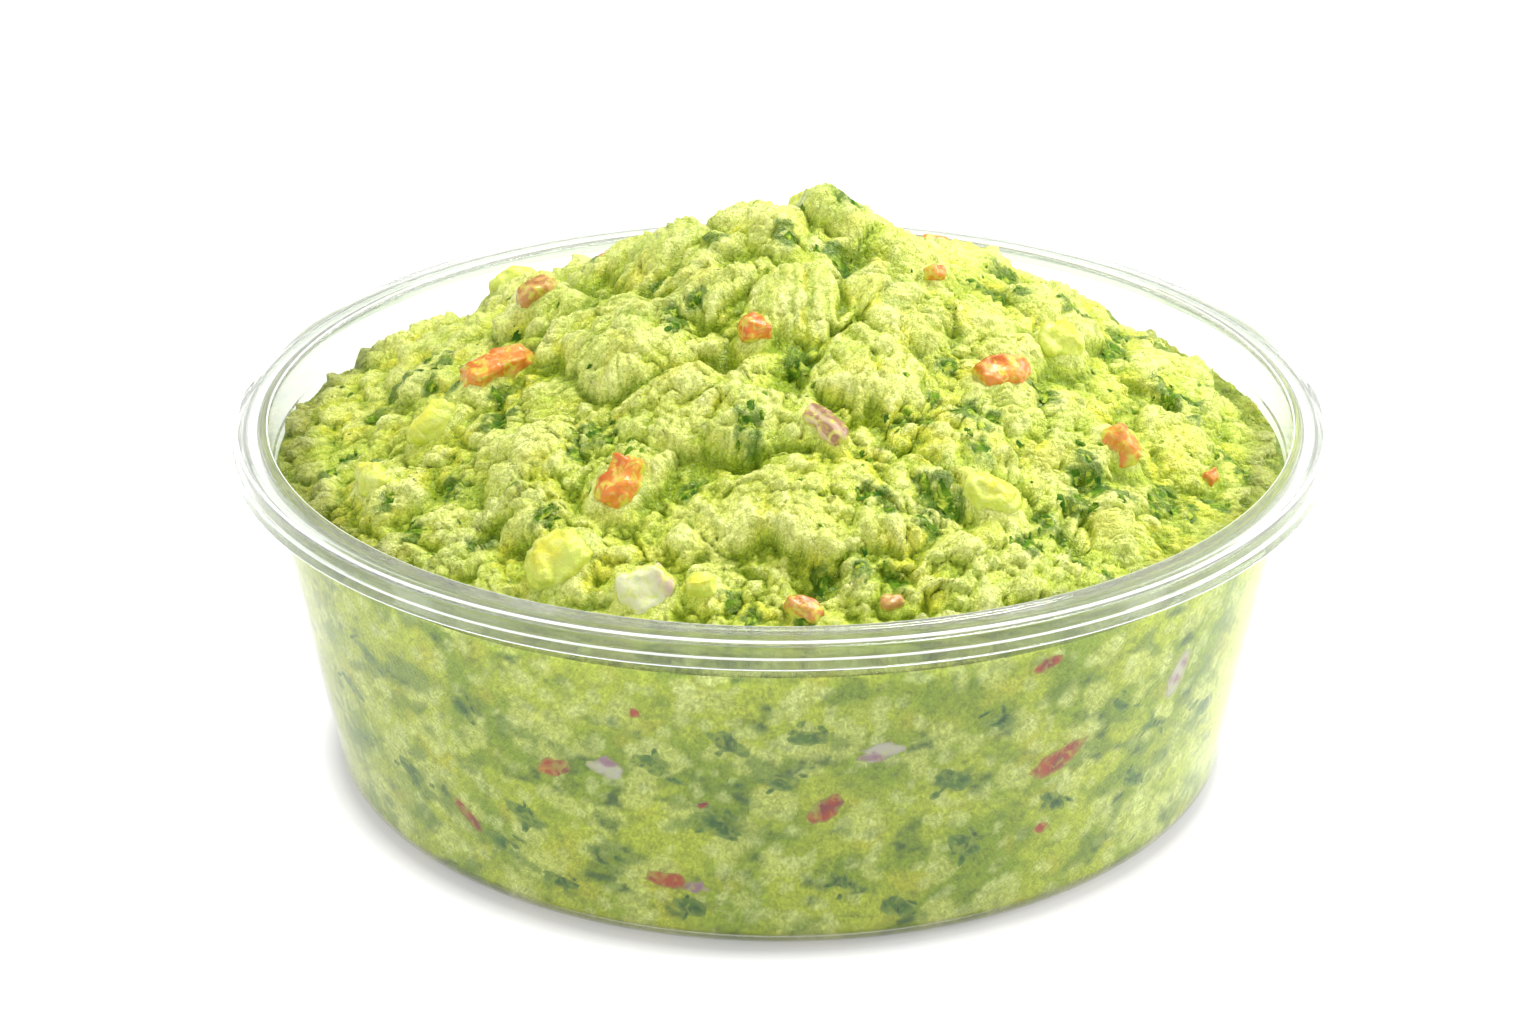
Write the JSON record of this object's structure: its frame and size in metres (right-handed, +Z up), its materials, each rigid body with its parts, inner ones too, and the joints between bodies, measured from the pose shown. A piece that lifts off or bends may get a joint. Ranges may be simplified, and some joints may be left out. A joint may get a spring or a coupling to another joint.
{
  "type": "guacamole in a clear tub",
  "caption": "Guacamole heaped above the stepped rim of a clear round tub, lumpy and folded, with diced tomato, onion and avocado set in its surface.",
  "frame": {"origin": "middle of the tub's base, on the surface it stands on", "axes": "+Z up, -Y towards the front of the heap, +X to the right of someone facing it"},
  "size_m": [0.15, 0.15, 0.0824],
  "materials": {
    "clear_tub": "clear smooth moulded plastic, 0.9 mm thick",
    "mash": "wet, soft, lumpy mashed avocado with a fine grain",
    "tomato": "wet cut tomato",
    "onion": "wet red onion, white with purple skin edges",
    "avocado": "wet avocado flesh"
  },
  "bodies": {
    "root": {"tub": "clear_tub", "guacamole": "mash", "tomato_1": "tomato", "tomato_2": "tomato", "tomato_3": "tomato", "tomato_4": "tomato", "tomato_5": "tomato", "tomato_6": "tomato", "onion_1": "onion", "onion_2": "onion", "avocado_1": "avocado", "avocado_2": "avocado", "avocado_3": "avocado"}
  },
  "joints": []
}
